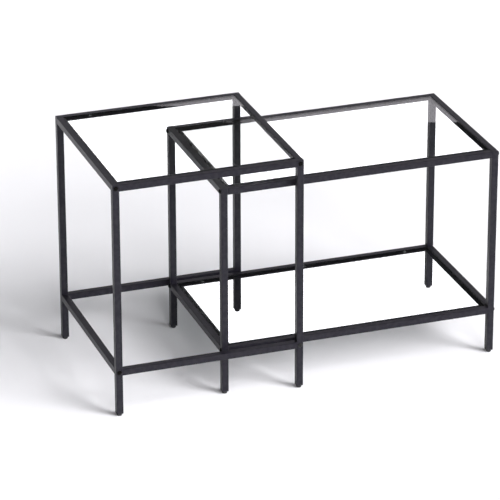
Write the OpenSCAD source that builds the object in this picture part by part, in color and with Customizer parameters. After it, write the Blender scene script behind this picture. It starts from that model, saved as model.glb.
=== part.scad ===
// Nesting tables: a tall square table and a long low table that slides in under it.
// Square steel tube frames, bolted together, with loose glass plates in the frames.
// Millimetres, +Z up. The floor is z = 0 and the origin is the middle of the whole footprint.

/* [Tall table] */
// Width of the tall table, left to right
tall_w = 433; // [380:1:520]
// Depth of the tall table, front to back
tall_d = 432; // [412:1:520]
// Height of the tall table's frame
tall_h = 547; // [530:1:640]

/* [Long table] */
// Width of the long table, left to right
long_w = 650; // [520:1:800]
// Depth of the long table, front to back
long_d = 378; // [300:1:396]
// Height of the long table's frame
long_h = 493; // [420:1:500]
// Distance from the tall table's left face to the long table's left face
pull_out = 252.5; // [20:0.5:430]

/* [Steel tube] */
// Outside size of the square tube
tube = 15; // [14:1:20]
// Wall thickness of the tube
wall = 1.2; // [1:0.1:2]
// Radius of the tube's long edges
edge_r = 1; // [0.5:0.1:1.5]
// Height of the low rails' top faces above the floor
low_rail_top = 113; // [80:1:160]

/* [Glass] */
// Thickness of the glass plates
glass_t = 6; // [4:0.5:8]
// Gap between a plate's edge and the rails around it
glass_gap = 1; // [0.5:0.1:2]
// Height of a plate's top above the rails' top faces
glass_proud = 0.5; // [0:0.1:1]
// Corner radius of the plates
glass_corner_r = 2; // [1:0.5:4]
// Width of the steel strips that carry the glass
ledge_w = 11; // [8:0.5:14]
// Thickness of the steel strips
ledge_t = 1.5; // [1:0.1:2]
// Diameter of the clear pads on the strips
pad_d = 8; // [6:0.5:10]
// Thickness of the clear pads
pad_t = 1; // [0.5:0.1:1.5]

/* [Feet] */
// Diameter of the round foot
foot_d = 12; // [10:0.5:13]
// Height of the round foot
foot_h = 6; // [4:0.5:8]
// Radius of the foot's lower edge
foot_r = 2; // [1:0.5:3]
// Thickness of the square collar under the tube
collar_t = 1.5; // [1:0.1:2]
// Length of the plug inside the tube
plug_len = 14; // [10:1:20]

/* [Bolts] */
// Diameter of the bolt shanks
bolt_d = 6; // [5:0.5:8]
// Length of the bolt shanks
bolt_len = 26; // [22:1:30]
// Diameter of the button heads
head_d = 11; // [10:0.5:12]
// Height of the button heads
head_h = 3.5; // [3:0.1:4]
// Width across the flats of the hexagon socket
socket_af = 4; // [3:0.5:5]
// Depth of the hexagon socket
socket_depth = 2; // [1.5:0.1:2.5]
// Length of the threaded inserts in the rail ends
insert_len = 15; // [12:1:20]

/* [Hidden] */
$fn = 48;
eps = 0.01;
hex = 6;
inner = tube - 2 * wall;
slip = 0.1;
hole_d = bolt_d + 0.6;
blank_len = 7;
head_edge = 0.8;
crown_cut = 0.6;
edge_pads_tall = 2;
edge_pads_long = 3;
pad_inset = 60;

// Both tables are centred on y = 0; the long table's right bolt heads are the rightmost points.
span = pull_out + long_w + head_h;
tall_x = (tall_w - span) / 2;
long_x = pull_out + (long_w - span) / 2;

// Heights of the rails' centre lines
tall_top_z = tall_h - tube / 2;
long_top_z = long_h - tube / 2;
low_z = low_rail_top - tube / 2;
tube_start = foot_h + collar_t;

// A plate's underside, measured down from the top face of its rails
glass_drop = glass_t - glass_proud;
ledge_drop = glass_drop + pad_t + ledge_t;

steel_colour = [0.22, 0.22, 0.24];
plastic_colour = [0.08, 0.08, 0.09];
bolt_colour = [0.13, 0.13, 0.14];
zinc_colour = [0.62, 0.63, 0.65];
glass_colour = [0.75, 0.88, 0.86, 0.35];
pad_colour = [0.85, 0.87, 0.88, 0.6];

// ---------- shared shapes ----------

// A rectangle with round corners, centred
module round_rect(w, d, r) {
    square([w - 2 * r, d], center = true);
    square([w, d - 2 * r], center = true);
    for (sx = [-1, 1], sy = [-1, 1])
        translate([sx * (w / 2 - r), sy * (d / 2 - r)])
            circle(r = r);
}

// Cross-section of the square tube
module tube_section() {
    difference() {
        round_rect(tube, tube, edge_r);
        square(inner, center = true);
    }
}

// A tube along X with square ends, centred
module butt_rail(length) {
    rotate([0, 90, 0])
        linear_extrude(length, center = true)
            tube_section();
}

// What a 45 degree cut takes away: all that lies beyond a plane, turned by angle about Y
module beyond_mitre(angle) {
    rotate([0, angle, 0])
        translate([-2 * tube, -tube, 0])
            cube([4 * tube, 2 * tube, 4 * tube]);
}

// A bolt hole along Y, right through a tube
module bolt_hole() {
    rotate([90, 0, 0])
        cylinder(d = hole_d, h = 2 * tube, center = true);
}

// A tube along X that is mitred into a leg at each end, and drilled at both corners
module mitred_rail(length) {
    difference() {
        butt_rail(length);
        for (side = [-1, 1])
            translate([side * (length - tube) / 2, 0, 0]) {
                beyond_mitre(side * 135);
                bolt_hole();
            }
    }
}

// A leg on its own centre line, mitred at the top towards +X and drilled along Y
module leg(height) {
    difference() {
        translate([0, 0, tube_start])
            linear_extrude(height - tube_start)
                tube_section();
        translate([0, 0, height - tube / 2]) {
            beyond_mitre(45);
            bolt_hole();
        }
        translate([0, 0, low_z])
            bolt_hole();
    }
}

// A plastic end plug with its collar and its round foot
module foot() {
    translate([0, 0, tube_start - eps])
        linear_extrude(plug_len)
            square(inner - 2 * slip, center = true);
    translate([0, 0, foot_h])
        linear_extrude(collar_t)
            round_rect(tube, tube, edge_r);
    rotate_extrude() {
        translate([0, foot_r])
            square([foot_d / 2, foot_h - foot_r + eps]);
        square([foot_d / 2 - foot_r, foot_h]);
        translate([foot_d / 2 - foot_r, foot_r])
            intersection() {
                circle(r = foot_r);
                translate([0, -foot_r])
                    square(foot_r);
            }
    }
}

// A low domed head with a flat crown and a hexagon socket, its seat on z = 0
module button_head() {
    dome_rise = head_h + crown_cut - head_edge;
    dome_r = (pow(head_d / 2, 2) + pow(dome_rise, 2)) / (2 * dome_rise);
    difference() {
        intersection() {
            cylinder(d = head_d, h = head_h);
            translate([0, 0, head_h + crown_cut - dome_r])
                sphere(r = dome_r, $fn = 96);
        }
        translate([0, 0, head_h - socket_depth])
            rotate([0, 0, 30])
                cylinder(d = socket_af / cos(30), h = socket_depth + eps, $fn = hex);
    }
}

// A headed fastener with its shank down -Z
module headed(shank_d, shank_len) {
    button_head();
    translate([0, 0, -shank_len])
        cylinder(d = shank_d, h = shank_len + eps);
}

// A threaded insert along X, drilled right through
module insert() {
    rotate([0, 90, 0])
        difference() {
            linear_extrude(insert_len, center = true)
                square(inner - 2 * slip, center = true);
            cylinder(d = bolt_d + 2 * slip, h = insert_len + 1, center = true);
        }
}

// One insert in each end of a rail along X
module end_inserts(length) {
    for (side = [-1, 1])
        translate([side * (length - insert_len) / 2, 0, 0])
            insert();
}

// A flat strip along X, with y = 0 on the rail's face and its top face on z = 0
module ledge(length) {
    translate([-length / 2, 0, -ledge_t])
        cube([length, ledge_w, ledge_t]);
}

// A row of clear pads along X on one strip, standing on z = 0
module pad_row(length, count) {
    for (i = [0 : count - 1])
        translate([(i / (count - 1) - 0.5) * (length - 2 * pad_inset), ledge_w / 2, 0])
            cylinder(d = pad_d, h = pad_t);
}

// A glass plate that fills an opening, its underside on z = 0
module glass_plate(w, d) {
    linear_extrude(glass_t)
        round_rect(w - 2 * glass_gap, d - 2 * glass_gap, glass_corner_r);
}

// ---------- places on the tall table ----------

// Inside of the tall table's frames
tall_in_w = tall_w - 2 * tube;
tall_in_d = tall_d - 2 * tube;

// A leg's centre line; turned so that the leg's +X points along its welded rail
module at_tall_leg(side_x, side_y) {
    translate([tall_x + side_x * (tall_w - tube) / 2, side_y * (tall_d - tube) / 2, 0])
        rotate([0, 0, side_x < 0 ? 0 : 180])
            children();
}

// The middle of a front or back rail
module at_tall_long_side(side_y, z) {
    translate([tall_x, side_y * (tall_d - tube) / 2, z])
        children();
}

// The middle of a left or right rail, turned so that +X runs along it
module at_tall_short_side(side_x, z) {
    translate([tall_x + side_x * (tall_w - tube) / 2, 0, z])
        rotate([0, 0, 90])
            children();
}

// The inner face of the front or back rail; +Y points into the frame
module at_tall_inner_face(side_y, z) {
    translate([tall_x, side_y * tall_in_d / 2, z])
        rotate([0, 0, side_y < 0 ? 0 : 180])
            children();
}

// A hole in the outer face of a front or back frame, with +Z outwards
module at_tall_hole(side_x, side_y, z) {
    translate([tall_x + side_x * (tall_w - tube) / 2, side_y * tall_d / 2, z])
        rotate([side_y < 0 ? 90 : -90, 0, 0])
            children();
}

// ---------- places on the long table ----------

// Inside of the long table's frames
long_in_w = long_w - 2 * tube;
long_in_d = long_d - 2 * tube;

// A leg's centre line; turned so that the leg's +X points along its welded rail
module at_long_leg(side_x, side_y) {
    translate([long_x + side_x * (long_w - tube) / 2, side_y * (long_d - tube) / 2, 0])
        rotate([0, 0, side_y < 0 ? 90 : -90])
            children();
}

// The middle of a front or back rail
module at_long_long_side(side_y, z) {
    translate([long_x, side_y * (long_d - tube) / 2, z])
        children();
}

// The middle of a left or right rail, turned so that +X runs along it
module at_long_short_side(side_x, z) {
    translate([long_x + side_x * (long_w - tube) / 2, 0, z])
        rotate([0, 0, 90])
            children();
}

// The inner face of a front or back rail; +Y points into the frame
module at_long_inner_face(side_y, z) {
    translate([long_x, side_y * long_in_d / 2, z])
        rotate([0, 0, side_y < 0 ? 0 : 180])
            children();
}

// The inner face of a left or right rail; +Y points into the frame
module at_long_end_face(side_x, z) {
    translate([long_x + side_x * long_in_w / 2, 0, z])
        rotate([0, 0, side_x < 0 ? -90 : 90])
            children();
}

// A hole in the outer face of an end frame, with +Z outwards
module at_long_hole(side_x, side_y, z) {
    translate([long_x + side_x * long_w / 2, side_y * (long_d - tube) / 2, z])
        rotate([0, side_x * 90, 0])
            children();
}

// ---------- tall table: two welded frames, front and back ----------

module tall_leg_front_left() {
    color(steel_colour) at_tall_leg(-1, -1) leg(tall_h);
}

module tall_leg_front_right() {
    color(steel_colour) at_tall_leg(1, -1) leg(tall_h);
}

module tall_leg_back_left() {
    color(steel_colour) at_tall_leg(-1, 1) leg(tall_h);
}

module tall_leg_back_right() {
    color(steel_colour) at_tall_leg(1, 1) leg(tall_h);
}

module tall_top_rail_front() {
    color(steel_colour) at_tall_long_side(-1, tall_top_z) mitred_rail(tall_w);
}

module tall_top_rail_back() {
    color(steel_colour) at_tall_long_side(1, tall_top_z) mitred_rail(tall_w);
}

module tall_low_rail_front() {
    color(steel_colour) at_tall_long_side(-1, low_z) butt_rail(tall_in_w);
}

module tall_low_rail_back() {
    color(steel_colour) at_tall_long_side(1, low_z) butt_rail(tall_in_w);
}

// ---------- tall table: side rails bolted between the frames ----------
// The lower right side stays open, so that the long table can slide in.

module tall_top_rail_left() {
    color(steel_colour) at_tall_short_side(-1, tall_top_z) butt_rail(tall_in_d);
}

module tall_top_rail_right() {
    color(steel_colour) at_tall_short_side(1, tall_top_z) butt_rail(tall_in_d);
}

module tall_low_rail_left() {
    color(steel_colour) at_tall_short_side(-1, low_z) butt_rail(tall_in_d);
}

module tall_inserts() {
    color(zinc_colour) {
        at_tall_short_side(-1, tall_top_z) end_inserts(tall_in_d);
        at_tall_short_side(1, tall_top_z) end_inserts(tall_in_d);
        at_tall_short_side(-1, low_z) end_inserts(tall_in_d);
    }
}

// The three bolts of one frame
module tall_frame_bolts(side_y) {
    at_tall_hole(-1, side_y, tall_top_z) headed(bolt_d, bolt_len);
    at_tall_hole(1, side_y, tall_top_z) headed(bolt_d, bolt_len);
    at_tall_hole(-1, side_y, low_z) headed(bolt_d, bolt_len);
}

module tall_bolts_front() {
    color(bolt_colour) tall_frame_bolts(-1);
}

module tall_bolts_back() {
    color(bolt_colour) tall_frame_bolts(1);
}

// Plugs in the two spare holes of the open side
module tall_blank_plugs() {
    color(plastic_colour)
        for (side_y = [-1, 1])
            at_tall_hole(1, side_y, low_z)
                headed(bolt_d, blank_len);
}

// ---------- tall table: glass, strips, pads and feet ----------

module tall_ledge_front() {
    color(steel_colour)
        at_tall_inner_face(-1, tall_h - glass_drop - pad_t)
            ledge(tall_in_w);
}

module tall_ledge_back() {
    color(steel_colour)
        at_tall_inner_face(1, tall_h - glass_drop - pad_t)
            ledge(tall_in_w);
}

module tall_glass_pads() {
    color(pad_colour)
        for (side_y = [-1, 1])
            at_tall_inner_face(side_y, tall_h - glass_drop - pad_t)
                pad_row(tall_in_w, edge_pads_tall);
}

module tall_glass() {
    color(glass_colour)
        translate([tall_x, 0, tall_h - glass_drop])
            glass_plate(tall_in_w, tall_in_d);
}

module tall_foot_front_left() {
    color(plastic_colour) at_tall_leg(-1, -1) foot();
}

module tall_foot_front_right() {
    color(plastic_colour) at_tall_leg(1, -1) foot();
}

module tall_foot_back_left() {
    color(plastic_colour) at_tall_leg(-1, 1) foot();
}

module tall_foot_back_right() {
    color(plastic_colour) at_tall_leg(1, 1) foot();
}

// ---------- long table: two welded end frames ----------

module long_leg_front_left() {
    color(steel_colour) at_long_leg(-1, -1) leg(long_h);
}

module long_leg_front_right() {
    color(steel_colour) at_long_leg(1, -1) leg(long_h);
}

module long_leg_back_left() {
    color(steel_colour) at_long_leg(-1, 1) leg(long_h);
}

module long_leg_back_right() {
    color(steel_colour) at_long_leg(1, 1) leg(long_h);
}

module long_top_rail_left() {
    color(steel_colour) at_long_short_side(-1, long_top_z) mitred_rail(long_d);
}

module long_top_rail_right() {
    color(steel_colour) at_long_short_side(1, long_top_z) mitred_rail(long_d);
}

module long_low_rail_left() {
    color(steel_colour) at_long_short_side(-1, low_z) butt_rail(long_in_d);
}

module long_low_rail_right() {
    color(steel_colour) at_long_short_side(1, low_z) butt_rail(long_in_d);
}

// ---------- long table: four rails bolted between the end frames ----------

module long_top_rail_front() {
    color(steel_colour) at_long_long_side(-1, long_top_z) butt_rail(long_in_w);
}

module long_top_rail_back() {
    color(steel_colour) at_long_long_side(1, long_top_z) butt_rail(long_in_w);
}

module long_low_rail_front() {
    color(steel_colour) at_long_long_side(-1, low_z) butt_rail(long_in_w);
}

module long_low_rail_back() {
    color(steel_colour) at_long_long_side(1, low_z) butt_rail(long_in_w);
}

module long_inserts() {
    color(zinc_colour)
        for (side_y = [-1, 1], z = [long_top_z, low_z])
            at_long_long_side(side_y, z)
                end_inserts(long_in_w);
}

// The four bolts of one end frame
module long_frame_bolts(side_x) {
    for (side_y = [-1, 1], z = [long_top_z, low_z])
        at_long_hole(side_x, side_y, z)
            headed(bolt_d, bolt_len);
}

module long_bolts_left() {
    color(bolt_colour) long_frame_bolts(-1);
}

module long_bolts_right() {
    color(bolt_colour) long_frame_bolts(1);
}

// ---------- long table: strips, glass, pads and feet ----------

// The end strips fit between the front and back strips.
long_end_ledge = long_in_d - 2 * ledge_w;
long_top_ledge_z = long_h - glass_drop - pad_t;
long_low_ledge_z = low_rail_top - glass_drop - pad_t;

module long_top_ledge_front() {
    color(steel_colour) at_long_inner_face(-1, long_top_ledge_z) ledge(long_in_w);
}

module long_top_ledge_back() {
    color(steel_colour) at_long_inner_face(1, long_top_ledge_z) ledge(long_in_w);
}

module long_top_ledge_left() {
    color(steel_colour) at_long_end_face(-1, long_top_ledge_z) ledge(long_end_ledge);
}

module long_top_ledge_right() {
    color(steel_colour) at_long_end_face(1, long_top_ledge_z) ledge(long_end_ledge);
}

module long_low_ledge_front() {
    color(steel_colour) at_long_inner_face(-1, long_low_ledge_z) ledge(long_in_w);
}

module long_low_ledge_back() {
    color(steel_colour) at_long_inner_face(1, long_low_ledge_z) ledge(long_in_w);
}

module long_low_ledge_left() {
    color(steel_colour) at_long_end_face(-1, long_low_ledge_z) ledge(long_end_ledge);
}

module long_low_ledge_right() {
    color(steel_colour) at_long_end_face(1, long_low_ledge_z) ledge(long_end_ledge);
}

module long_top_pads() {
    color(pad_colour)
        for (side_y = [-1, 1])
            at_long_inner_face(side_y, long_top_ledge_z)
                pad_row(long_in_w, edge_pads_long);
}

module long_shelf_pads() {
    color(pad_colour)
        for (side_y = [-1, 1])
            at_long_inner_face(side_y, long_low_ledge_z)
                pad_row(long_in_w, edge_pads_long);
}

module long_glass_top() {
    color(glass_colour)
        translate([long_x, 0, long_h - glass_drop])
            glass_plate(long_in_w, long_in_d);
}

module long_glass_shelf() {
    color(glass_colour)
        translate([long_x, 0, low_rail_top - glass_drop])
            glass_plate(long_in_w, long_in_d);
}

module long_foot_front_left() {
    color(plastic_colour) at_long_leg(-1, -1) foot();
}

module long_foot_front_right() {
    color(plastic_colour) at_long_leg(1, -1) foot();
}

module long_foot_back_left() {
    color(plastic_colour) at_long_leg(-1, 1) foot();
}

module long_foot_back_right() {
    color(plastic_colour) at_long_leg(1, 1) foot();
}

tall_leg_front_left();
tall_leg_front_right();
tall_leg_back_left();
tall_leg_back_right();
tall_top_rail_front();
tall_top_rail_back();
tall_top_rail_left();
tall_top_rail_right();
tall_low_rail_front();
tall_low_rail_back();
tall_low_rail_left();
tall_ledge_front();
tall_ledge_back();
tall_glass_pads();
tall_glass();
tall_foot_front_left();
tall_foot_front_right();
tall_foot_back_left();
tall_foot_back_right();
tall_bolts_front();
tall_bolts_back();
tall_blank_plugs();
tall_inserts();
long_leg_front_left();
long_leg_front_right();
long_leg_back_left();
long_leg_back_right();
long_top_rail_front();
long_top_rail_back();
long_top_rail_left();
long_top_rail_right();
long_low_rail_front();
long_low_rail_back();
long_low_rail_left();
long_low_rail_right();
long_top_ledge_front();
long_top_ledge_back();
long_top_ledge_left();
long_top_ledge_right();
long_low_ledge_front();
long_low_ledge_back();
long_low_ledge_left();
long_low_ledge_right();
long_top_pads();
long_glass_top();
long_shelf_pads();
long_glass_shelf();
long_foot_front_left();
long_foot_front_right();
long_foot_back_left();
long_foot_back_right();
long_bolts_left();
long_bolts_right();
long_inserts();
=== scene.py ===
"""Two nesting tables in black powder-coated tube with clear glass tops, dressed and lit.

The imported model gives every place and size. This script gives the finishes, the ground glass
plates, their pads and strips, the weld beads, and a plain pale studio. Lengths are in metres.
"""

import logging
import math
from collections.abc import Iterable, Sequence
from dataclasses import dataclass, field
from enum import Enum

import bmesh
import bpy
from mathutils import Matrix, Vector

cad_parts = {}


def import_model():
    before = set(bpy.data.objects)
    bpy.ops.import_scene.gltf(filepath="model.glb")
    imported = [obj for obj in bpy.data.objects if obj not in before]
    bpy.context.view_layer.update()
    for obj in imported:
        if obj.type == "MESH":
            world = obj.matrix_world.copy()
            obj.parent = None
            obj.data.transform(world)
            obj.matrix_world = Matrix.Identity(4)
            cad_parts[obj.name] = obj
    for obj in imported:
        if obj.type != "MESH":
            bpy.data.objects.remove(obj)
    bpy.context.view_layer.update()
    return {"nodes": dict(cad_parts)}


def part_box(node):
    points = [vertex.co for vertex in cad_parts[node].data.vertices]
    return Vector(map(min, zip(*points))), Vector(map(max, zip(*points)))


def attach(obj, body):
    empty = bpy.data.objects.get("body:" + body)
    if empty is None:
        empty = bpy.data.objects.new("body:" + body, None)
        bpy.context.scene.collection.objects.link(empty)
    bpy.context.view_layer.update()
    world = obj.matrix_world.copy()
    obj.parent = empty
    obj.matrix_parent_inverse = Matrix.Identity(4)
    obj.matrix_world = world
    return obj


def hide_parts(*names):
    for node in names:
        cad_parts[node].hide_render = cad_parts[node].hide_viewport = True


log = logging.getLogger("nesting_tables")

MM = 0.001

Colour = tuple[float, float, float]
Stretch = tuple[float, float, float]
Place = tuple[float, float, float]
Box = tuple[Vector, Vector]


class Body(Enum):
    """The parts that move as one."""

    TALL_FRAME = "tall_frame"
    TALL_PLATE = "tall_plate"
    LONG_FRAME = "long_frame"
    LONG_PLATE = "long_plate"
    SHELF_PLATE = "shelf_plate"


class Slot(Enum):
    """The finishes that can be repainted."""

    STEEL = "black_steel"
    BOLT = "black_bolt"
    PLASTIC = "black_plastic"
    ZINC = "zinc"
    PAD = "clear_pad"
    GLASS = "clear_glass"


# ---------- laying out shader nodes ----------


class ShaderSheet:
    """One material or sky under construction, with short ways to add and join its nodes."""

    def __init__(self, tree: bpy.types.NodeTree) -> None:
        """Starts from an empty node tree.

        Args:
            tree: The node tree of a material or a world.
        """
        self.tree = tree
        self.tree.nodes.clear()

    def add(self, kind: str, **settings: object) -> bpy.types.Node:
        """Adds a node and sets its own properties.

        Args:
            kind: The node's type name, without its ShaderNode start.
            settings: Properties of the node, such as operation or data_type.

        Returns:
            The new node.
        """
        made = self.tree.nodes.new("ShaderNode" + kind)
        for name, value in settings.items():
            setattr(made, name, value)
        return made

    def join(self, source: bpy.types.NodeSocket, target: bpy.types.NodeSocket) -> None:
        """Joins an output to an input."""
        self.tree.links.new(source, target)

    def place(self) -> bpy.types.NodeSocket:
        """Returns the surface's own place in metres, which stays with the piece as it moves."""
        return self.add("TexCoord").outputs["Object"]

    def grain(
        self,
        size: float,
        detail: float = 2.0,
        roughness: float = 0.5,
        distortion: float = 0.0,
        stretch: Stretch = (1.0, 1.0, 1.0),
    ) -> bpy.types.NodeSocket:
        """A cloudy pattern between 0 and 1.

        Args:
            size: How wide one cloud is, in metres.
            detail: How many finer layers it has.
            roughness: How strong the finer layers are.
            distortion: How far the pattern is pulled about.
            stretch: How many times denser it is along each axis.

        Returns:
            The pattern's output.
        """
        spread = self.add("Mapping")
        spread.inputs["Scale"].default_value = stretch
        self.join(self.place(), spread.inputs["Vector"])
        cloud = self.add("TexNoise")
        cloud.inputs["Scale"].default_value = 1.0 / size
        cloud.inputs["Detail"].default_value = detail
        cloud.inputs["Roughness"].default_value = roughness
        cloud.inputs["Distortion"].default_value = distortion
        self.join(spread.outputs["Vector"], cloud.inputs["Vector"])
        return cloud.outputs["Fac"]

    def between(
        self,
        source: bpy.types.NodeSocket,
        low: float,
        high: float,
        start: float = 0.3,
        end: float = 0.7,
    ) -> bpy.types.NodeSocket:
        """Turns a pattern into a smooth value between two limits.

        Args:
            source: The pattern.
            low: The value at start and below.
            high: The value at end and above.
            start: Where on the pattern the change begins.
            end: Where on the pattern the change ends.

        Returns:
            The value's output.
        """
        change = self.add("MapRange", interpolation_type="SMOOTHSTEP")
        change.inputs["From Min"].default_value = start
        change.inputs["From Max"].default_value = end
        change.inputs["To Min"].default_value = low
        change.inputs["To Max"].default_value = high
        self.join(source, change.inputs["Value"])
        return change.outputs["Result"]

    def mixed(
        self, share: bpy.types.NodeSocket, first: Colour | bpy.types.NodeSocket, second: Colour
    ) -> bpy.types.NodeSocket:
        """Blends two colours.

        Args:
            share: How much of the second colour shows.
            first: The colour at 0, plain or from another node.
            second: The colour at 1.

        Returns:
            The blended colour's output.
        """
        blend = self.add("Mix", data_type="RGBA")
        if isinstance(first, bpy.types.NodeSocket):
            self.join(first, blend.inputs["A"])
        else:
            blend.inputs["A"].default_value = (*first, 1.0)
        blend.inputs["B"].default_value = (*second, 1.0)
        self.join(share, blend.inputs["Factor"])
        return blend.outputs["Result"]

    def product(
        self, first: bpy.types.NodeSocket, second: bpy.types.NodeSocket | float
    ) -> bpy.types.NodeSocket:
        """Multiplies two values.

        Args:
            first: The value from one node.
            second: The other value, plain or from another node.

        Returns:
            The product's output.
        """
        times = self.add("Math", operation="MULTIPLY")
        self.join(first, times.inputs[0])
        if isinstance(second, bpy.types.NodeSocket):
            self.join(second, times.inputs[1])
        else:
            times.inputs[1].default_value = second
        return times.outputs["Value"]

    def relief(
        self, layers: Iterable[tuple[bpy.types.NodeSocket, float]], strength: float = 1.0
    ) -> bpy.types.NodeSocket:
        """Stacks shallow reliefs on one surface.

        Args:
            layers: A pattern and its height in metres for each relief.
            strength: How strongly all of them tell.

        Returns:
            The normal's output.
        """
        normal = None
        for pattern, height in layers:
            bump = self.add("Bump")
            bump.inputs["Strength"].default_value = strength
            bump.inputs["Distance"].default_value = height
            self.join(pattern, bump.inputs["Height"])
            if normal is not None:
                self.join(normal, bump.inputs["Normal"])
            normal = bump.outputs["Normal"]
        return normal

    def worn_edges(
        self, start: float, end: float, patch: float = 9 * MM, least: float = 0.25
    ) -> bpy.types.NodeSocket:
        """Finds the ridges of a piece, broken up into patches.

        Args:
            start: The sharpness at which wear begins.
            end: The sharpness at which it is full.
            patch: How wide one patch is, in metres.
            least: How much wear is left between the patches.

        Returns:
            A share from 0 on flat faces to 1 on worn ridges.
        """
        ridge = self.between(self.add("NewGeometry").outputs["Pointiness"], 0.0, 1.0, start, end)
        patchy = self.between(self.grain(patch, detail=4.0), least, 1.0, start=0.4, end=0.6)
        return self.product(ridge, patchy)

    def cover(self, shader: bpy.types.NodeSocket) -> None:
        """Makes a shader the surface of the material."""
        self.join(shader, self.add("OutputMaterial").inputs["Surface"])


def new_material(name: str) -> tuple[bpy.types.Material, ShaderSheet]:
    """Starts a material.

    Args:
        name: The finish's name.

    Returns:
        The material and the sheet that its nodes are laid out on.
    """
    material = bpy.data.materials.new(name)
    material.use_nodes = True
    return material, ShaderSheet(material.node_tree)


# ---------- finishes ----------


@dataclass(frozen=True)
class PowderCoat:
    """Satin black powder coat on steel: cloudy black, fine orange peel, thin along the edges."""

    name: str = "satin_black_powder_coat"
    deep: Colour = (0.0052, 0.0045, 0.0088)
    pale: Colour = (0.0070, 0.0062, 0.0110)
    edge: Colour = (0.022, 0.021, 0.025)
    cloud: float = 60 * MM
    peel: float = 1.6 * MM
    peel_height: float = 0.008 * MM
    speck: float = 0.45 * MM
    speck_height: float = 0.002 * MM
    smooth: float = 0.37
    rough: float = 0.41
    ior: float = 1.33
    gloss_patch: float = 2.2
    fleck_share: float = 0.06
    fleck_start: float = 0.60
    fleck_end: float = 0.76
    wear_start: float = 0.52
    wear_end: float = 0.62
    wear_share: float = 0.5

    def build(self) -> bpy.types.Material:
        """Returns the finished material."""
        material, sheet = new_material(self.name)
        cloud = sheet.grain(self.cloud, detail=4.0, roughness=0.6)
        speck = sheet.grain(self.speck, detail=1.0)
        tone = sheet.mixed(sheet.between(cloud, 0.0, 1.0), self.deep, self.pale)
        flecks = sheet.between(speck, 0.0, self.fleck_share, self.fleck_start, self.fleck_end)
        flecked = sheet.mixed(flecks, tone, self.edge)
        worn = sheet.product(sheet.worn_edges(self.wear_start, self.wear_end), self.wear_share)
        coat = sheet.add("BsdfPrincipled")
        coat.inputs["IOR"].default_value = self.ior
        sheet.join(sheet.mixed(worn, flecked, self.edge), coat.inputs["Base Color"])
        patch = sheet.grain(self.gloss_patch * self.cloud, detail=3.0, distortion=0.6)
        sheet.join(sheet.between(patch, self.smooth, self.rough), coat.inputs["Roughness"])
        peel = sheet.grain(self.peel, detail=1.5)
        layers = ((peel, self.peel_height), (speck, self.speck_height))
        sheet.join(sheet.relief(layers), coat.inputs["Normal"])
        sheet.cover(coat.outputs["BSDF"])
        return material


@dataclass(frozen=True)
class BlackOxide:
    """Oiled black oxide on the bolts: dark metal with a brown cast and rubbed edges."""

    name: str = "black_oxide_bolt_steel"
    deep: Colour = (0.0030, 0.0028, 0.0028)
    pale: Colour = (0.0075, 0.0068, 0.0064)
    rubbed: Colour = (0.050, 0.047, 0.044)
    blotch: float = 4 * MM
    pit: float = 0.25 * MM
    pit_height: float = 0.006 * MM
    smooth: float = 0.30
    rough: float = 0.48
    metal: float = 0.30
    ior: float = 1.22
    wear_start: float = 0.56
    wear_end: float = 0.72

    def build(self) -> bpy.types.Material:
        """Returns the finished material."""
        material, sheet = new_material(self.name)
        blotch = sheet.grain(self.blotch, detail=5.0, roughness=0.62)
        tone = sheet.mixed(sheet.between(blotch, 0.0, 1.0), self.deep, self.pale)
        steel = sheet.add("BsdfPrincipled")
        steel.inputs["Metallic"].default_value = self.metal
        steel.inputs["IOR"].default_value = self.ior
        worn = sheet.worn_edges(self.wear_start, self.wear_end)
        sheet.join(sheet.mixed(worn, tone, self.rubbed), steel.inputs["Base Color"])
        sheet.join(sheet.between(blotch, self.smooth, self.rough), steel.inputs["Roughness"])
        pits = sheet.grain(self.pit, detail=2.0)
        sheet.join(sheet.relief([(pits, self.pit_height)]), steel.inputs["Normal"])
        sheet.cover(steel.outputs["BSDF"])
        return material


@dataclass(frozen=True)
class MouldedPlastic:
    """Black moulded plastic of the feet and plugs: matt spark grain, scuffed near the floor."""

    name: str = "matt_black_moulded_plastic"
    deep: Colour = (0.010, 0.010, 0.011)
    pale: Colour = (0.017, 0.017, 0.018)
    scuff: Colour = (0.055, 0.053, 0.050)
    cloud: float = 12 * MM
    grain: float = 0.35 * MM
    grain_height: float = 0.018 * MM
    smooth: float = 0.50
    rough: float = 0.66
    scuff_top: float = 2.5 * MM
    scuff_patch: float = 2.5 * MM
    scuff_start: float = 0.45
    scuff_end: float = 0.65

    def build(self) -> bpy.types.Material:
        """Returns the finished material."""
        material, sheet = new_material(self.name)
        cloud = sheet.grain(self.cloud, detail=4.0)
        tone = sheet.mixed(sheet.between(cloud, 0.0, 1.0), self.deep, self.pale)
        height = sheet.add("SeparateXYZ")
        sheet.join(sheet.place(), height.inputs["Vector"])
        low = sheet.between(height.outputs["Z"], 1.0, 0.0, 0.0, self.scuff_top)
        patch = sheet.grain(self.scuff_patch, detail=5.0)
        rubbed = sheet.between(patch, 0.0, 1.0, self.scuff_start, self.scuff_end)
        scuffed = sheet.mixed(sheet.product(low, rubbed), tone, self.scuff)
        plastic = sheet.add("BsdfPrincipled")
        sheet.join(scuffed, plastic.inputs["Base Color"])
        sheet.join(sheet.between(cloud, self.smooth, self.rough), plastic.inputs["Roughness"])
        grain = sheet.grain(self.grain, detail=2.0)
        sheet.join(sheet.relief([(grain, self.grain_height)]), plastic.inputs["Normal"])
        sheet.cover(plastic.outputs["BSDF"])
        return material


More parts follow.
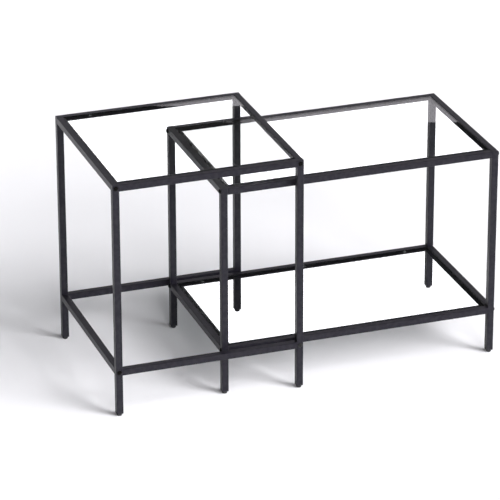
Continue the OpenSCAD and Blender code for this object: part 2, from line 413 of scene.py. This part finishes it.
@dataclass(frozen=True)
class ZincPlate:
    """Bright zinc on the threaded inserts in the rail ends."""

    name: str = "bright_zinc_plate"
    blue: Colour = (0.52, 0.55, 0.60)
    straw: Colour = (0.66, 0.64, 0.58)
    blotch: float = 5 * MM
    turning: float = 0.5 * MM
    turning_height: float = 0.006 * MM
    smooth: float = 0.22
    rough: float = 0.42

    def build(self) -> bpy.types.Material:
        """Returns the finished material."""
        material, sheet = new_material(self.name)
        blotch = sheet.grain(self.blotch, detail=4.0)
        plate = sheet.add("BsdfPrincipled")
        plate.inputs["Metallic"].default_value = 1.0
        tone = sheet.mixed(sheet.between(blotch, 0.0, 1.0), self.blue, self.straw)
        sheet.join(tone, plate.inputs["Base Color"])
        sheet.join(sheet.between(blotch, self.smooth, self.rough), plate.inputs["Roughness"])
        turned = sheet.grain(self.turning, detail=1.0)
        sheet.join(sheet.relief([(turned, self.turning_height)]), plate.inputs["Normal"])
        sheet.cover(plate.outputs["BSDF"])
        return material


@dataclass(frozen=True)
class SoftClearPlastic:
    """Soft clear plastic of the pads that the glass lies on, a little milky."""

    name: str = "soft_clear_pad_plastic"
    clear: Colour = (0.90, 0.92, 0.93)
    milky: Colour = (0.80, 0.82, 0.84)
    cloud: float = 3 * MM
    ripple_height: float = 0.02 * MM
    smooth: float = 0.08
    rough: float = 0.26
    clearness: float = 0.85
    ior: float = 1.48

    def build(self) -> bpy.types.Material:
        """Returns the finished material."""
        material, sheet = new_material(self.name)
        cloud = sheet.grain(self.cloud, detail=3.0)
        pad = sheet.add("BsdfPrincipled")
        pad.inputs["Transmission Weight"].default_value = self.clearness
        pad.inputs["IOR"].default_value = self.ior
        tone = sheet.mixed(sheet.between(cloud, 0.0, 1.0), self.clear, self.milky)
        sheet.join(tone, pad.inputs["Base Color"])
        sheet.join(sheet.between(cloud, self.smooth, self.rough), pad.inputs["Roughness"])
        sheet.join(sheet.relief([(cloud, self.ripple_height)]), pad.inputs["Normal"])
        sheet.cover(pad.outputs["BSDF"])
        return material


@dataclass(frozen=True)
class FloatGlass:
    """Clear float glass: polished faces with a faint wiping haze."""

    name: str = "clear_float_glass"
    clear: Colour = (0.996, 1.0, 0.998)
    tinted: Colour = (0.985, 0.994, 0.990)
    haze: float = 90 * MM
    haze_stretch: Stretch = (1.0, 2.4, 1.0)
    haze_start: float = 0.5
    haze_end: float = 0.8
    smooth: float = 0.0
    rough: float = 0.002
    lamp_share: Colour = (0.52, 0.53, 0.53)
    ior: float = 1.5

    def build(self) -> bpy.types.Material:
        """Returns the finished material, which lets a fixed share of the lamps' light through."""
        material, sheet = new_material(self.name)
        haze = sheet.grain(self.haze, detail=5.0, roughness=0.65, stretch=self.haze_stretch)
        glass = sheet.add("BsdfPrincipled")
        glass.inputs["Transmission Weight"].default_value = 1.0
        glass.inputs["IOR"].default_value = self.ior
        tone = sheet.mixed(sheet.between(haze, 0.0, 1.0), self.clear, self.tinted)
        sheet.join(tone, glass.inputs["Base Color"])
        hazy = sheet.between(haze, self.smooth, self.rough, self.haze_start, self.haze_end)
        sheet.join(hazy, glass.inputs["Roughness"])
        lamps = sheet.add("BsdfTransparent")
        lamps.inputs["Color"].default_value = (*self.lamp_share, 1.0)
        choose = sheet.add("MixShader")
        sheet.join(sheet.add("LightPath").outputs["Is Shadow Ray"], choose.inputs[0])
        sheet.join(glass.outputs["BSDF"], choose.inputs[1])
        sheet.join(lamps.outputs["BSDF"], choose.inputs[2])
        sheet.cover(choose.outputs["Shader"])
        return material


@dataclass(frozen=True)
class GroundGlassEdge:
    """The ground edge of a glass plate: satin and deep green, too fine-pitted to see through."""

    name: str = "ground_glass_edge"
    deep: Colour = (0.010, 0.017, 0.014)
    pale: Colour = (0.022, 0.034, 0.029)
    cloud: float = 14 * MM
    cloud_stretch: Stretch = (1.0, 1.0, 3.0)
    pit: float = 0.12 * MM
    pit_height: float = 0.002 * MM
    smooth: float = 0.24
    rough: float = 0.36

    def build(self) -> bpy.types.Material:
        """Returns the finished material."""
        material, sheet = new_material(self.name)
        cloud = sheet.grain(self.cloud, detail=4.0, stretch=self.cloud_stretch)
        tone = sheet.mixed(sheet.between(cloud, 0.0, 1.0), self.deep, self.pale)
        edge = sheet.add("BsdfPrincipled")
        sheet.join(tone, edge.inputs["Base Color"])
        sheet.join(sheet.between(cloud, self.smooth, self.rough), edge.inputs["Roughness"])
        pits = sheet.grain(self.pit, detail=1.0)
        sheet.join(sheet.relief([(pits, self.pit_height)]), edge.inputs["Normal"])
        sheet.cover(edge.outputs["BSDF"])
        return material


@dataclass(frozen=True)
class PaleFloorPaint:
    """Plain pale floor: matt white with the faintest cloud in it, glowing where glass covers it."""

    name: str = "pale_floor"
    light: Colour = (0.890, 0.884, 0.918)
    shade: Colour = (0.880, 0.874, 0.908)
    cloud: float = 0.35
    glow: float = 2.4
    glow_share: float = 0.85

    def build(self) -> bpy.types.Material:
        """Returns the finished material."""
        material, sheet = new_material(self.name)
        cloud = sheet.grain(self.cloud, detail=3.0)
        tone = sheet.mixed(sheet.between(cloud, 0.0, 1.0), self.light, self.shade)
        matt = sheet.add("BsdfDiffuse")
        sheet.join(tone, matt.inputs["Color"])
        lit = sheet.add("Emission")
        sheet.join(tone, lit.inputs["Color"])
        lit.inputs["Strength"].default_value = self.glow
        through = sheet.add("LightPath").outputs["Is Transmission Ray"]
        choose = sheet.add("MixShader")
        sheet.join(sheet.product(through, self.glow_share), choose.inputs[0])
        sheet.join(matt.outputs["BSDF"], choose.inputs[1])
        sheet.join(lit.outputs["Emission"], choose.inputs[2])
        sheet.cover(choose.outputs["Shader"])
        return material


@dataclass
class Finishes:
    """Every finish of the two tables, built once and shared."""

    steel: bpy.types.Material = field(default_factory=lambda: PowderCoat().build())
    bolt: bpy.types.Material = field(default_factory=lambda: BlackOxide().build())
    plastic: bpy.types.Material = field(default_factory=lambda: MouldedPlastic().build())
    zinc: bpy.types.Material = field(default_factory=lambda: ZincPlate().build())
    pad: bpy.types.Material = field(default_factory=lambda: SoftClearPlastic().build())
    glass_face: bpy.types.Material = field(default_factory=lambda: FloatGlass().build())
    glass_edge: bpy.types.Material = field(default_factory=lambda: GroundGlassEdge().build())


# ---------- shared shapes ----------


def new_piece(
    name: str, shape: bmesh.types.BMesh, materials: Sequence[bpy.types.Material]
) -> bpy.types.Object:
    """Turns a finished shape into a piece of the scene.

    Args:
        name: The piece's name.
        shape: Its mesh, which is used up.
        materials: Its finishes, in the order that the faces count them.

    Returns:
        The new piece.
    """
    bmesh.ops.recalc_face_normals(shape, faces=shape.faces)
    mesh = bpy.data.meshes.new(name)
    shape.to_mesh(mesh)
    shape.free()
    for material in materials:
        mesh.materials.append(material)
    piece = bpy.data.objects.new(name, mesh)
    bpy.context.scene.collection.objects.link(piece)
    return piece


def dress(node: bpy.types.Object, material: bpy.types.Material) -> None:
    """Gives a carried-over part its finish.

    Args:
        node: The part.
        material: Its finish.
    """
    for held in node.material_slots:
        held.link = "OBJECT"
        held.material = material


def rounded_outline(low: Vector, high: Vector, radius: float, steps: int) -> list[Vector]:
    """The outline of a rectangle with round corners, anticlockwise from the lower right corner.

    Args:
        low: Its lowest corner.
        high: Its highest corner.
        radius: The corner radius.
        steps: How many edges each corner has.

    Returns:
        The outline's points at z = 0.
    """
    points = []
    middle = (low + high) / 2
    corners = ((high.x, low.y), (high.x, high.y), (low.x, high.y), (low.x, low.y))
    for turn, (x, y) in enumerate(corners):
        centre_x = x - math.copysign(radius, x - middle.x)
        centre_y = y - math.copysign(radius, y - middle.y)
        centre = Vector((centre_x, centre_y, 0.0))
        for i in range(steps + 1):
            angle = math.radians(90 * (turn - 1 + i / steps))
            points.append(centre + radius * Vector((math.cos(angle), math.sin(angle), 0.0)))
    return points


def rounded_side(bottom: float, top: float, radius: float, steps: int) -> list[tuple[float, float]]:
    """The profile of a flat plate's side with both its edges rounded.

    Args:
        bottom: The height of the underside.
        top: The height of the upper face.
        radius: The radius of the rounding.
        steps: How many bands each rounding has.

    Returns:
        How far in the outline is, and at what height, from the underside up.
    """
    turns = [math.radians(90 * i / steps) for i in range(steps + 1)]
    sink = [(radius * (1 - math.sin(a)), radius * (1 - math.cos(a))) for a in turns]
    below = [(inset, bottom + rise) for inset, rise in sink]
    above = [(inset, top - rise) for inset, rise in reversed(sink)]
    return below + above


def stack_rings(shape: bmesh.types.BMesh, rings: Sequence[Sequence[Vector]]) -> None:
    """Skins closed rings of equal count, and caps the first and the last.

    Args:
        shape: The mesh that is added to.
        rings: The points of each ring, from bottom to top.
    """
    made = [[shape.verts.new(point) for point in ring] for ring in rings]
    count = len(made[0])
    for below, above in zip(made, made[1:]):
        for i in range(count):
            j = (i + 1) % count
            shape.faces.new((below[i], below[j], above[j], above[i]))
    shape.faces.new(made[0][::-1])
    shape.faces.new(made[-1])


def smooth_by_angle(shape: bmesh.types.BMesh, limit: float) -> None:
    """Shades a shape smooth, apart from its sharp edges.

    Args:
        shape: The mesh.
        limit: The angle in degrees above which an edge stays sharp.
    """
    for face in shape.faces:
        face.smooth = True
    for edge in shape.edges:
        if len(edge.link_faces) == 2 and edge.calc_face_angle() > math.radians(limit):
            edge.smooth = False


# ---------- glass ----------


@dataclass
class GlassPlate:
    """One loose glass plate with its edge ground and rounded."""

    node: str
    piece_name: str
    body: Body
    corner: float = 2 * MM
    arris: float = 0.7 * MM
    arris_steps: int = 3
    corner_steps: int = 10
    least_corner: float = 0.2 * MM
    sharp_above: float = 40.0
    level_above: float = 0.999

    def ring(self, box: Box, inset: float, z: float) -> list[Vector]:
        """The plate's outline at one height.

        Args:
            box: The plate's lowest and highest corners.
            inset: How far the outline is drawn in.
            z: The height.

        Returns:
            The outline's points.
        """
        low, high = box
        step = Vector((inset, inset, 0.0))
        radius = max(self.corner - inset, self.least_corner)
        outline = rounded_outline(low + step, high - step, radius, self.corner_steps)
        return [Vector((point.x, point.y, z)) for point in outline]

    def mesh(self) -> bmesh.types.BMesh:
        """Returns the plate, rounded above and below, with its second finish on the ground edge."""
        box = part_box(self.node)
        side = rounded_side(box[0].z, box[1].z, self.arris, self.arris_steps)
        shape = bmesh.new()
        stack_rings(shape, [self.ring(box, inset, z) for inset, z in side])
        shape.normal_update()
        smooth_by_angle(shape, self.sharp_above)
        for face in shape.faces:
            flat = abs(face.normal.z) > self.level_above
            face.material_index = 0 if flat else 1
            face.smooth = not flat
        return shape

    def build(self, finishes: Finishes) -> list[bpy.types.Object]:
        """Makes the plate and puts it on its body.

        Args:
            finishes: The finishes of the tables.

        Returns:
            The new piece.
        """
        piece = new_piece(self.piece_name, self.mesh(), (finishes.glass_face, finishes.glass_edge))
        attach(piece, self.body.value)
        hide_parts(self.node)
        return [piece]


@dataclass
class GlassPads:
    """The round clear pads under one plate, in a row along the front and the back."""

    node: str
    piece_name: str
    body: Body
    per_row: int
    diameter: float = 8 * MM
    shoulder: float = 0.35 * MM
    shoulder_cut: float = 0.3
    around: int = 36
    sharp_above: float = 50.0

    def disc(self, shape: bmesh.types.BMesh, centre: Vector, height: float) -> None:
        """Adds one pad with soft shoulders.

        Args:
            shape: The mesh that is added to.
            centre: The middle of the pad's underside.
            height: The pad's thickness.
        """
        full = self.diameter / 2
        cut = self.shoulder_cut * self.shoulder
        profile = (
            (full - self.shoulder, 0.0),
            (full - cut, cut),
            (full, self.shoulder),
            (full, height - self.shoulder),
            (full - cut, height - cut),
            (full - self.shoulder, height),
        )
        turns = [math.tau * i / self.around for i in range(self.around)]
        rings = []
        for radius, rise in profile:
            ring = [Vector((radius * math.cos(a), radius * math.sin(a), rise)) for a in turns]
            rings.append([centre + point for point in ring])
        stack_rings(shape, rings)

    def build(self, finishes: Finishes) -> list[bpy.types.Object]:
        """Makes the pads and puts them on their body.

        Args:
            finishes: The finishes of the tables.

        Returns:
            The new piece.
        """
        low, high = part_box(self.node)
        reach = Vector((self.diameter / 2, self.diameter / 2, 0.0))
        first, last = low + reach, high - reach
        shape = bmesh.new()
        for i in range(self.per_row):
            x = first.x + (last.x - first.x) * i / (self.per_row - 1)
            for y in (first.y, last.y):
                self.disc(shape, Vector((x, y, low.z)), high.z - low.z)
        smooth_by_angle(shape, self.sharp_above)
        piece = new_piece(self.piece_name, shape, (finishes.pad,))
        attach(piece, self.body.value)
        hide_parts(self.node)
        return [piece]


# ---------- steel ----------


@dataclass
class GlassStrip:
    """One flat steel strip that carries a glass plate, with its sheared edges rounded over."""

    node: str
    body: Body
    edge: float = 0.35 * MM
    edge_steps: int = 3
    corner_steps: int = 2
    sharp_above: float = 40.0

    def build(self, finishes: Finishes) -> list[bpy.types.Object]:
        """Makes the strip and puts it on its body.

        Args:
            finishes: The finishes of the tables.

        Returns:
            The new piece.
        """
        low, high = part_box(self.node)
        rings = []
        for inset, z in rounded_side(low.z, high.z, self.edge, self.edge_steps):
            step = Vector((inset, inset, 0.0))
            outline = rounded_outline(low + step, high - step, self.edge, self.corner_steps)
            rings.append([Vector((point.x, point.y, z)) for point in outline])
        shape = bmesh.new()
        stack_rings(shape, rings)
        smooth_by_angle(shape, self.sharp_above)
        piece = new_piece(f"{self.node}_strip", shape, (finishes.steel,))
        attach(piece, self.body.value)
        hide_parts(self.node)
        return [piece]


@dataclass(frozen=True)
class WeldRun:
    """One weld bead in the corner between two faces."""

    start: Vector
    end: Vector
    along_first: Vector
    along_second: Vector


@dataclass
class WeldBeads:
    """The small rippled beads that hold one frame together."""

    piece_name: str
    body: Body
    size: float = 1.7 * MM
    ripple: float = 1.5 * MM
    ripple_depth: float = 0.10
    bury: float = 0.25 * MM
    hollow: float = 0.16
    end_size: float = 0.35
    across: int = 7
    per_ripple: int = 5
    least_steps: int = 8
    sharp_above: float = 60.0
    runs: list[WeldRun] = field(default_factory=list)

    def corner(self, start: Vector, end: Vector, first: Vector, second: Vector) -> None:
        """Adds a bead between two points.

        Args:
            start: Where the bead begins, in the corner.
            end: Where it ends.
            first: The way from the corner along the first face.
            second: The way from the corner along the second face.
        """
        self.runs.append(WeldRun(start, end, first, second))

    def section(self, run: WeldRun, share: float, scale: float) -> list[Vector]:
        """The bead's cross-section at one place.

        Args:
            run: The bead.
            share: How far along it, from 0 to 1.
            scale: How full the bead is there.

        Returns:
            The points of the section.
        """
        root = run.start.lerp(run.end, share) - self.bury * (run.along_first + run.along_second)
        size = self.size * scale + self.bury
        points = [root]
        for i in range(self.across):
            angle = math.radians(90 * i / (self.across - 1))
            bulge = size * (1 - self.hollow * math.sin(2 * angle))
            way = math.cos(angle) * run.along_first + math.sin(angle) * run.along_second
            points.append(root + bulge * way)
        return points

    def bead(self, shape: bmesh.types.BMesh, run: WeldRun) -> None:
        """Adds one bead's mesh.

        Args:
            shape: The mesh that is added to.
            run: The bead.
        """
        length = (run.end - run.start).length
        steps = max(self.least_steps, round(length / self.ripple * self.per_ripple))
        rings = []
        for i in range(steps + 1):
            share = i / steps
            wave = 1 + self.ripple_depth * math.cos(math.tau * share * length / self.ripple)
            nearest = min(share, 1 - share) * length / self.size
            fullness = min(1.0, self.end_size + (1 - self.end_size) * nearest)
            rings.append(self.section(run, share, wave * fullness))
        stack_rings(shape, rings)

    def build(self, finishes: Finishes) -> list[bpy.types.Object]:
        """Makes all the beads as one piece and puts it on its body.

        Args:
            finishes: The finishes of the tables.

        Returns:
            The new piece.
        """
        shape = bmesh.new()
        for run in self.runs:
            self.bead(shape, run)
        smooth_by_angle(shape, self.sharp_above)
        piece = new_piece(self.piece_name, shape, (finishes.steel,))
        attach(piece, self.body.value)
        return [piece]


@dataclass
class CarriedParts:
    """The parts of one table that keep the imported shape, by finish."""

    nodes: dict[str, bpy.types.Object]
    prefix: str

    def finish_for(self, name: str, finishes: Finishes) -> bpy.types.Material | None:
        """Chooses a part's finish by what the part is.

        Args:
            name: The part's name.
            finishes: The finishes of the tables.

        Returns:
            The finish, or None for a part that a new piece stands for.
        """
        choices: tuple[tuple[tuple[str, ...], bpy.types.Material], ...] = (
            (("_leg_", "_rail_"), finishes.steel),
            (("_bolts_",), finishes.bolt),
            (("_foot_", "_plugs"), finishes.plastic),
            (("_inserts",), finishes.zinc),
        )
        return next((m for words, m in choices if any(w in name for w in words)), None)

    def build(self, finishes: Finishes) -> list[bpy.types.Object]:
        """Dresses the parts.

        Args:
            finishes: The finishes of the tables.

        Returns:
            The dressed parts.
        """
        dressed = []
        for name, node in sorted(self.nodes.items()):
            material = self.finish_for(name, finishes) if name.startswith(self.prefix) else None
            if material is not None:
                dress(node, material)
                dressed.append(node)
        return dressed


# ---------- the two tables ----------


@dataclass
class TallTable:
    """The tall square table: two welded frames, side rails between them and one glass top."""

    nodes: dict[str, bpy.types.Object]
    stitch: float = 18 * MM
    stitches: int = 3
    short_by: float = 1 * MM

    def welds(self) -> WeldBeads:
        """Returns the beads inside the low rails, under the top corners and under the strips."""
        beads = WeldBeads("tall_frame_welds", Body.TALL_FRAME)
        down, along = Vector((0, 0, -1)), Vector((1, 0, 0))
        for side in ("front", "back"):
            low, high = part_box(f"tall_low_rail_{side}")
            inward = Vector((0, 1, 0)) if side == "front" else Vector((0, -1, 0))
            face = high.y if side == "front" else low.y
            near, far = low.y + self.short_by, high.y - self.short_by
            bottom, top = low.z + self.short_by, high.z - self.short_by
            top_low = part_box(f"tall_top_rail_{side}")[0].z
            for x, way in ((low.x, along), (high.x, -along)):
                beads.corner(Vector((x, face, bottom)), Vector((x, face, top)), inward, way)
                for z in (low.z, top_low):
                    beads.corner(Vector((x, near, z)), Vector((x, far, z)), down, way)
            self.stitch_strip(beads, f"tall_ledge_{side}", inward)
        return beads

    def stitch_strip(self, beads: WeldBeads, node: str, inward: Vector) -> None:
        """Adds the short beads under one strip.

        Args:
            beads: The beads that are added to.
            node: The strip.
            inward: The way from the rail to the glass.
        """
        low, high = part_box(node)
        face = low.y if inward.y > 0 else high.y
        for i in range(self.stitches):
            x = low.x + (high.x - low.x) * (i + 0.5) / self.stitches
            half = Vector((self.stitch / 2, 0, 0))
            middle = Vector((x, face, low.z))
            beads.corner(middle - half, middle + half, inward, Vector((0, 0, -1)))

    def build(self, finishes: Finishes) -> list[bpy.types.Object]:
        """Builds and dresses the whole table.

        Args:
            finishes: The finishes of the tables.

        Returns:
            Its pieces.
        """
        pieces = CarriedParts(self.nodes, "tall_").build(finishes)
        for side in ("front", "back"):
            pieces += GlassStrip(f"tall_ledge_{side}", Body.TALL_FRAME).build(finishes)
        pads = GlassPads("tall_glass_pads", "tall_soft_pads", Body.TALL_FRAME, per_row=2)
        pieces += pads.build(finishes)
        pieces += GlassPlate("tall_glass", "tall_glass_plate", Body.TALL_PLATE).build(finishes)
        pieces += self.welds().build(finishes)
        return pieces


@dataclass
class LongTable:
    """The long low table: two welded end frames, four rails, a glass top and a glass shelf."""

    nodes: dict[str, bpy.types.Object]
    stitch: float = 18 * MM
    stitch_places: tuple[float, ...] = (0.25, 0.75)
    short_by: float = 1 * MM

    def welds(self) -> WeldBeads:
        """Returns the beads under the rails of the two end frames and under their strips."""
        beads = WeldBeads("long_frame_welds", Body.LONG_FRAME)
        down, along = Vector((0, 0, -1)), Vector((0, 1, 0))
        for side in ("left", "right"):
            low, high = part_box(f"long_low_rail_{side}")
            inward = Vector((1, 0, 0)) if side == "left" else Vector((-1, 0, 0))
            near, far = low.x + self.short_by, high.x - self.short_by
            top_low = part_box(f"long_top_rail_{side}")[0].z
            for y, way in ((low.y, along), (high.y, -along)):
                for z in (low.z, top_low):
                    beads.corner(Vector((near, y, z)), Vector((far, y, z)), down, way)
            for level in ("top", "low"):
                self.stitch_strips(beads, level, side, inward)
        return beads

    def stitch_strips(self, beads: WeldBeads, level: str, side: str, inward: Vector) -> None:
        """Adds the short beads under the strip on one end frame.

        Args:
            beads: The beads that are added to.
            level: The ring that the strip is in, top or low.
            side: The end that it is on.
            inward: The way from the rail to the glass.
        """
        low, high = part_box(f"long_{level}_ledge_{side}")
        face = low.x if inward.x > 0 else high.x
        for share in self.stitch_places:
            middle = Vector((face, low.y + (high.y - low.y) * share, low.z))
            half = Vector((0, self.stitch / 2, 0))
            beads.corner(middle - half, middle + half, inward, Vector((0, 0, -1)))

    def build(self, finishes: Finishes) -> list[bpy.types.Object]:
        """Builds and dresses the whole table.

        Args:
            finishes: The finishes of the tables.

        Returns:
            Its pieces.
        """
        pieces = CarriedParts(self.nodes, "long_").build(finishes)
        for level in ("top", "low"):
            for side in ("front", "back", "left", "right"):
                strip = GlassStrip(f"long_{level}_ledge_{side}", Body.LONG_FRAME)
                pieces += strip.build(finishes)
        for level in ("top", "shelf"):
            node, name = f"long_{level}_pads", f"long_{level}_soft_pads"
            pads = GlassPads(node, name, Body.LONG_FRAME, per_row=3)
            pieces += pads.build(finishes)
        plates = (
            GlassPlate("long_glass_top", "long_top_glass_plate", Body.LONG_PLATE),
            GlassPlate("long_glass_shelf", "long_shelf_glass_plate", Body.SHELF_PLATE),
        )
        for plate in plates:
            pieces += plate.build(finishes)
        pieces += self.welds().build(finishes)
        return pieces


# ---------- studio ----------


@dataclass(frozen=True)
class SoftLamp:
    """A large far lamp."""

    name: str
    azimuth: float
    elevation: float
    strength: float
    softness: float
    distance: float = 3.0

    def build(self, unlit: bpy.types.Collection) -> None:
        """Hangs the lamp. Azimuth 0 shines from the front, and 90 from the right.

        Args:
            unlit: The glass, which would mirror the lamp's disc as a white glare.
        """
        turn, rise = math.radians(self.azimuth), math.radians(self.elevation)
        source = Vector(
            (math.sin(turn) * math.cos(rise), -math.cos(turn) * math.cos(rise), math.sin(rise))
        )
        light = bpy.data.lights.new(self.name, "SUN")
        light.energy = self.strength
        light.angle = math.radians(self.softness)
        lamp = bpy.data.objects.new(self.name, light)
        lamp.rotation_mode = "QUATERNION"
        lamp.rotation_quaternion = source.to_track_quat("Z", "Y")
        lamp.location = self.distance * source
        lamp.visible_glossy = False
        lamp.light_linking.receiver_collection = unlit
        bpy.context.scene.collection.objects.link(lamp)


@dataclass(frozen=True)
class Studio:
    """Pale floor, bright low surround with darkness above it, a panel to mirror, and soft lamps."""

    floor_half: float = 40.0
    floor_squares: int = 40
    surround: float = 1.15
    above: float = 0.03
    fill: float = 0.25
    surround_top: float = 20.8
    surround_blur: float = 0.4
    panel_distance: float = 11.37
    panel_top: float = 4.957
    panel_half: float = 12.0
    panel_azimuth: float = -19.1
    panel_colour: Colour = (0.98, 0.945, 1.0)
    panel_strength: float = 0.86
    lamps: tuple[SoftLamp, ...] = (
        SoftLamp("key_lamp", azimuth=40.0, elevation=45.0, strength=1.90, softness=28.0),
        SoftLamp("low_front_lamp", azimuth=0.0, elevation=25.0, strength=2.42, softness=28.0),
        SoftLamp("low_right_lamp", azimuth=40.0, elevation=25.0, strength=2.36, softness=28.0),
        SoftLamp("side_lamp", azimuth=75.0, elevation=52.0, strength=0.50, softness=34.0),
    )
    see_through_bounces: int = 24
    glass_bounces: int = 16
    all_bounces: int = 20

    def floor(self) -> None:
        """Lays the floor as a grid of squares."""
        squares, half = self.floor_squares, self.floor_half
        shape = bmesh.new()
        bmesh.ops.create_grid(shape, x_segments=squares, y_segments=squares, size=half)
        floor = new_piece("studio_floor", shape, (PaleFloorPaint().build(),))

    def panel(self) -> None:
        """Stands the bright panel behind the tables, for the glass to mirror."""
        material, sheet = new_material("panel_glow")
        glow = sheet.add("Emission")
        glow.inputs["Color"].default_value = (*self.panel_colour, 1.0)
        glow.inputs["Strength"].default_value = self.panel_strength
        sheet.cover(glow.outputs["Emission"])
        turn = math.radians(self.panel_azimuth)
        foot = self.panel_distance * Vector((-math.sin(turn), math.cos(turn), 0))
        reach = self.panel_half * Vector((math.cos(turn), math.sin(turn), 0))
        rise = Vector((0, 0, self.panel_top))
        corners = (foot - reach, foot + reach, foot + reach + rise, foot - reach + rise)
        shape = bmesh.new()
        shape.faces.new([shape.verts.new(corner) for corner in corners])
        panel = new_piece("studio_panel", shape, (material,))
        panel.visible_camera = panel.visible_diffuse = panel.visible_shadow = False

    def sky(self) -> None:
        """Surrounds the scene: bright up to a certain height all round, and dark above."""
        world = bpy.data.worlds.new("studio_surround")
        world.use_nodes = True
        sheet = ShaderSheet(world.node_tree)
        split = sheet.add("SeparateXYZ")
        sheet.join(sheet.add("TexCoord").outputs["Generated"], split.inputs["Vector"])
        start = math.sin(math.radians(self.surround_top - self.surround_blur))
        end = math.sin(math.radians(self.surround_top + self.surround_blur))
        glow = sheet.between(split.outputs["Z"], self.surround, self.above, start, end)
        spread = sheet.add("LightPath").outputs["Is Diffuse Ray"]
        fill = sheet.between(spread, 1.0, self.fill, start=0.0, end=1.0)
        light = sheet.add("Background")
        sheet.join(sheet.product(glow, fill), light.inputs["Strength"])
        sheet.join(light.outputs["Background"], sheet.add("OutputWorld").inputs["Surface"])
        bpy.context.scene.world = world

    def no_glare(self, glass: Iterable[bpy.types.Object]) -> bpy.types.Collection:
        """Groups the glass plates so that no lamp is mirrored in them.

        Args:
            glass: The glass plates.

        Returns:
            The group, with every plate in it left out of the lamps' light.
        """
        group = bpy.data.collections.new("glass_without_glare")
        for plate in glass:
            group.objects.link(plate)
        for held in group.collection_objects:
            held.light_linking.link_state = "EXCLUDE"
        return group

    def build(self, glass: Iterable[bpy.types.Object]) -> None:
        """Sets up the floor, the surround, the lamps and the way tones are shown.

        Args:
            glass: The glass plates of the tables.
        """
        self.floor()
        self.panel()
        self.sky()
        group = self.no_glare(glass)
        for lamp in self.lamps:
            lamp.build(group)
        scene = bpy.context.scene
        scene.view_settings.view_transform = "Standard"
        scene.view_settings.look = "None"
        scene.cycles.caustics_refractive = False
        scene.cycles.caustics_reflective = False
        scene.cycles.transparent_max_bounces = self.see_through_bounces
        scene.cycles.transmission_bounces = self.glass_bounces
        scene.cycles.max_bounces = self.all_bounces


@dataclass(frozen=True)
class StudioCamera:
    """A long lens from the front left, looking down on the tables."""

    azimuth: float = -19.32
    elevation: float = 23.857
    roll: float = -0.147
    distance: float = 7.5257
    aim: Place = (-0.0686, 0.0, 0.2520)
    lens: float = 241.27
    sensor: float = 36.0
    nearest: float = 0.1
    farthest: float = 200.0

    def build(self) -> None:
        """Sets up the camera."""
        turn, rise = math.radians(self.azimuth), math.radians(self.elevation)
        back = Vector(
            (math.sin(turn) * math.cos(rise), -math.cos(turn) * math.cos(rise), math.sin(rise))
        )
        right = Vector((math.cos(turn), math.sin(turn), 0.0))
        up = back.cross(right)
        tilt = math.radians(self.roll)
        right, up = (
            math.cos(tilt) * right + math.sin(tilt) * up,
            math.cos(tilt) * up - math.sin(tilt) * right,
        )
        data = bpy.data.cameras.new("studio_camera")
        data.sensor_width, data.lens = self.sensor, self.lens
        data.clip_start, data.clip_end = self.nearest, self.farthest
        camera = bpy.data.objects.new("studio_camera", data)
        place = Vector(self.aim) + self.distance * back
        turned = Matrix((right, up, back)).transposed().to_4x4()
        camera.matrix_world = Matrix.Translation(place) @ turned
        bpy.context.scene.collection.objects.link(camera)
        bpy.context.scene.camera = camera


# ---------- the whole ----------


def main() -> None:
    """Builds the camera, the tables and the studio, in that order."""
    logging.basicConfig(level=logging.INFO, format="%(levelname)s %(name)s: %(message)s")
    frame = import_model()
    StudioCamera().build()
    finishes = Finishes()
    pieces = TallTable(frame["nodes"]).build(finishes) + LongTable(frame["nodes"]).build(finishes)
    for piece in pieces:
        log.info("%s: %d faces", piece.name, len(piece.data.polygons))
    Studio().build([piece for piece in pieces if piece.name.endswith("_glass_plate")])


if __name__ == "__main__":
    main()
